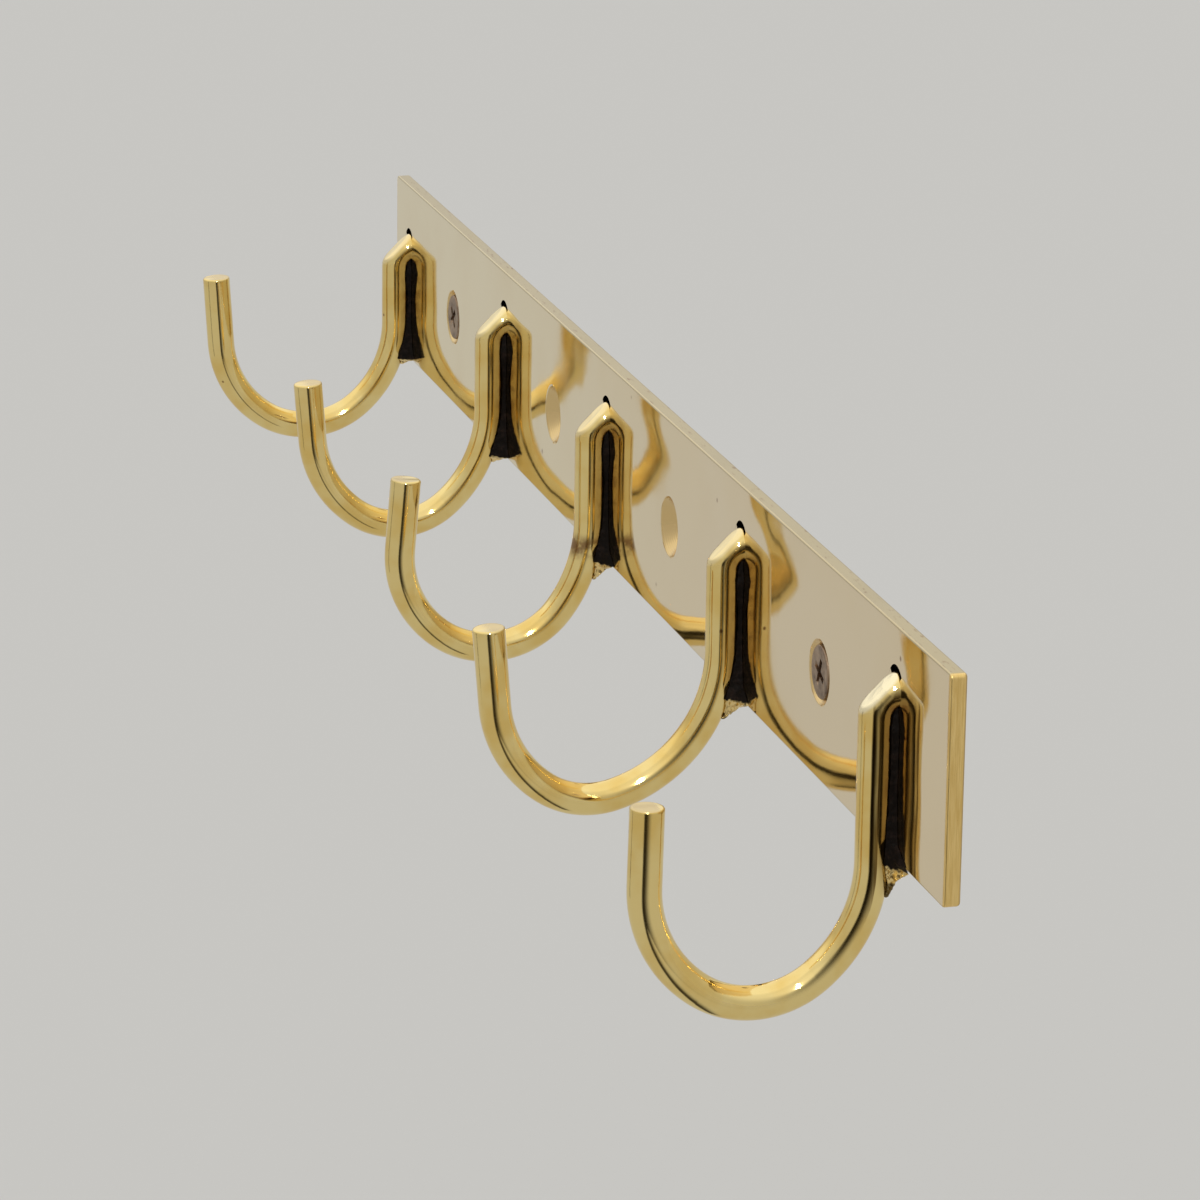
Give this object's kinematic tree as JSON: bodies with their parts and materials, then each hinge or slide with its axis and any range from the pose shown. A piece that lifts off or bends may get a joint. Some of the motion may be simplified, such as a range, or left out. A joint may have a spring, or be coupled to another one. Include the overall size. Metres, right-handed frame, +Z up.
{
  "type": "coat rack",
  "caption": "Wall coat rack: a flat polished brass bar with a row of hand-bent round-rod J hooks brazed to its front, countersunk holes between them and wall screws in the outer holes.",
  "frame": {"origin": "middle of the bar's back face, which lies on the wall", "axes": "+X along the bar, +Y into the wall (the front faces -Y), +Z up"},
  "size_m": [0.4, 0.0701, 0.0674],
  "materials": {
    "polished_brass": "hand polished",
    "dark_braze": "blackened, unpolished filler",
    "screw_steel": "plain bright steel"
  },
  "bodies": {
    "root": {"back_plate": "polished_brass", "hook_1": "polished_brass", "hook_2": "polished_brass", "hook_3": "polished_brass", "hook_4": "polished_brass", "hook_5": "polished_brass", "braze_seam_1": "dark_braze", "braze_seam_2": "dark_braze", "braze_seam_3": "dark_braze", "braze_seam_4": "dark_braze", "braze_seam_5": "dark_braze", "wall_screw_1": "screw_steel", "wall_screw_2": "screw_steel"}
  },
  "joints": []
}
